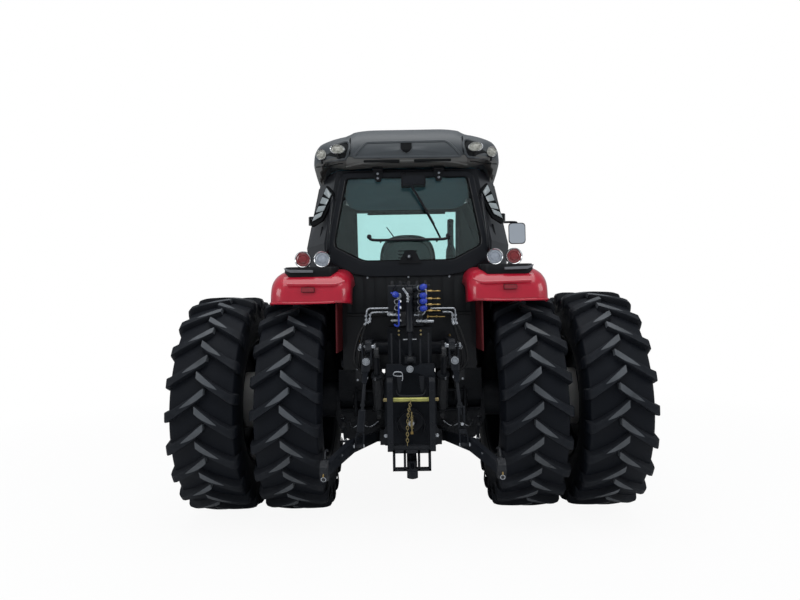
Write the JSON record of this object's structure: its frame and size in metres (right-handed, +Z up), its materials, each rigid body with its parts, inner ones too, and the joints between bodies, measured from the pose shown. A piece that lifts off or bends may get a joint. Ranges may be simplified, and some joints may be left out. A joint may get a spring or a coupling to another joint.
{
  "type": "farm tractor",
  "caption": "Four-wheel-drive farm tractor with a glazed cab, dual rear wheels, a three-point linkage and a drawbar",
  "frame": {"origin": "on the ground, under the middle of the whole length and width", "axes": "+Y points forwards along the tractor, +X to its right, +Z up"},
  "size_m": [3.429, 5.332, 3.1819],
  "materials": {
    "tyre": "worn rubber",
    "rim": "silver paint",
    "red": "gloss red paint",
    "black": "satin black paint",
    "iron": "black painted casting",
    "roof": "grey moulded plastic",
    "plastic": "black moulded plastic",
    "glass": "tinted safety glass",
    "cloth": "woven seat cover",
    "steel": "bright steel"
  },
  "bodies": {
    "chassis": {"transmission_case": "iron", "engine_block": "iron", "radiator_pack": "black", "front_frame": "iron", "front_weights": "iron", "front_axle_beam": "iron", "cab_frame": "black", "cab_floor": "black", "cab_roof": "roof", "rear_window": "glass", "windscreen": "glass", "quarter_glass_left": "glass", "quarter_glass_right": "glass", "fender_left": "red", "fender_right": "red", "lamp_console_left": "plastic", "lamp_console_right": "plastic", "engine_cowl": "plastic", "exhaust_stack": "black", "seat_base": "black", "seat": "cloth", "steering_console": "plastic", "fuel_tank_left": "plastic", "battery_box_right": "plastic", "hitch_frame": "iron", "drawbar": "iron", "remote_valves": "black", "mirror_left": "plastic", "mirror_right": "plastic"},
    "rear_wheels_left": {"rear_rims_left": "rim", "rear_tyre_inner_left": "tyre", "rear_tyre_outer_left": "tyre"},
    "rear_wheels_right": {"rear_rims_right": "rim", "rear_tyre_inner_right": "tyre", "rear_tyre_outer_right": "tyre"},
    "front_knuckle_left": {"front_knuckle_left": "iron"},
    "front_knuckle_right": {"front_knuckle_right": "iron"},
    "front_wheel_left": {"front_rim_left": "rim", "front_tyre_left": "tyre"},
    "front_wheel_right": {"front_rim_right": "rim", "front_tyre_right": "tyre"},
    "tie_rod": {"tie_rod": "iron"},
    "hood": {"hood_shell": "red", "hood_grille": "plastic"},
    "door_left": {"door_frame_left": "black", "door_glass_left": "glass"},
    "door_right": {"door_frame_right": "black", "door_glass_right": "glass"},
    "lift_arms": {"lift_arm_left": "iron", "lift_arm_right": "iron"},
    "lift_rods": {"lift_rod_left": "iron", "lift_rod_right": "iron"},
    "lower_links": {"lower_link_left": "iron", "lower_link_right": "iron"},
    "lift_cylinders": {"lift_cylinder_left": "iron", "lift_cylinder_right": "iron"},
    "lift_pistons": {"lift_piston_left": "steel", "lift_piston_right": "steel"},
    "top_link": {"top_link": "iron"},
    "pto_shaft": {"pto_shaft": "steel"}
  },
  "joints": [
    {"name": "rear_wheels_left_spin", "type": "hinge", "parent": "chassis", "child": "rear_wheels_left", "pos_m": [-0.885, -1.354, 0.865], "axis": [-1, 0, 0], "continuous": true},
    {"name": "rear_wheels_right_spin", "type": "hinge", "parent": "chassis", "child": "rear_wheels_right", "pos_m": [0.885, -1.354, 0.865], "axis": [-1, 0, 0], "continuous": true},
    {"name": "steer_left", "type": "hinge", "parent": "chassis", "child": "front_knuckle_left", "pos_m": [-0.68, 1.526, 0.7], "axis": [0, 0, 1], "range_deg": [-40, 40]},
    {"name": "steer_right", "type": "hinge", "parent": "chassis", "child": "front_knuckle_right", "pos_m": [0.68, 1.526, 0.7], "axis": [0, 0, 1], "range_deg": [-40, 40]},
    {"name": "tie_rod_pivot", "type": "hinge", "parent": "front_knuckle_left", "child": "tie_rod", "pos_m": [-0.68, 1.296, 0.64], "axis": [0, 0, 1], "range_deg": [-40, 40]},
    {"name": "front_wheel_left_spin", "type": "hinge", "parent": "front_knuckle_left", "child": "front_wheel_left", "pos_m": [-0.97, 1.526, 0.7], "axis": [-1, 0, 0], "continuous": true},
    {"name": "front_wheel_right_spin", "type": "hinge", "parent": "front_knuckle_right", "child": "front_wheel_right", "pos_m": [0.97, 1.526, 0.7], "axis": [-1, 0, 0], "continuous": true},
    {"name": "hood_hinge", "type": "hinge", "parent": "chassis", "child": "hood", "pos_m": [0, 0.306, 1.9], "axis": [1, 0, 0], "range_deg": [0, 50]},
    {"name": "door_left_hinge", "type": "hinge", "parent": "chassis", "child": "door_left", "pos_m": [-0.919, -0.784, 2.15], "axis": [0, 0, 1], "range_deg": [0, 65]},
    {"name": "door_right_hinge", "type": "hinge", "parent": "chassis", "child": "door_right", "pos_m": [0.919, -0.784, 2.15], "axis": [0, 0, -1], "range_deg": [0, 65]},
    {"name": "lift_arms_hinge", "type": "hinge", "parent": "chassis", "child": "lift_arms", "pos_m": [0, -1.714, 1.3], "axis": [-1, 0, 0], "range_deg": [-6, 28]},
    {"name": "lift_rods_hinge", "type": "hinge", "parent": "lift_arms", "child": "lift_rods", "pos_m": [0, -2.114, 1.335], "axis": [-1, 0, 0], "range_deg": [-30, 10]},
    {"name": "lower_links_hinge", "type": "hinge", "parent": "chassis", "child": "lower_links", "pos_m": [0, -1.604, 0.6], "axis": [-1, 0, 0], "range_deg": [-5, 20]},
    {"name": "lift_cylinders_hinge", "type": "hinge", "parent": "chassis", "child": "lift_cylinders", "pos_m": [0, -1.654, 0.78], "axis": [-1, 0, 0], "range_deg": [-3, 9]},
    {"name": "lift_pistons_slide", "type": "slide", "parent": "lift_cylinders", "child": "lift_pistons", "axis": [0, -0.547, 0.8371], "range_m": [-0.03, 0.12]},
    {"name": "top_link_hinge", "type": "hinge", "parent": "chassis", "child": "top_link", "pos_m": [0, -2.014, 1.229], "axis": [1, 0, 0], "range_deg": [0, 100]},
    {"name": "pto_shaft_spin", "type": "hinge", "parent": "chassis", "child": "pto_shaft", "pos_m": [0, -1.954, 0.76], "axis": [0, 1, 0], "continuous": true}
  ],
  "couplings": [
    {"joint": "steer_right", "follows": "steer_left", "ratio": 1},
    {"joint": "tie_rod_pivot", "follows": "steer_left", "ratio": -1},
    {"joint": "lower_links_hinge", "follows": "lift_arms_hinge", "ratio": 0.654},
    {"joint": "lift_rods_hinge", "follows": "lift_arms_hinge", "ratio": -0.965},
    {"joint": "lift_cylinders_hinge", "follows": "lift_arms_hinge", "ratio": 0.26},
    {"joint": "lift_pistons_slide", "follows": "lift_arms_hinge", "m_per_rad": 0.212}
  ]
}
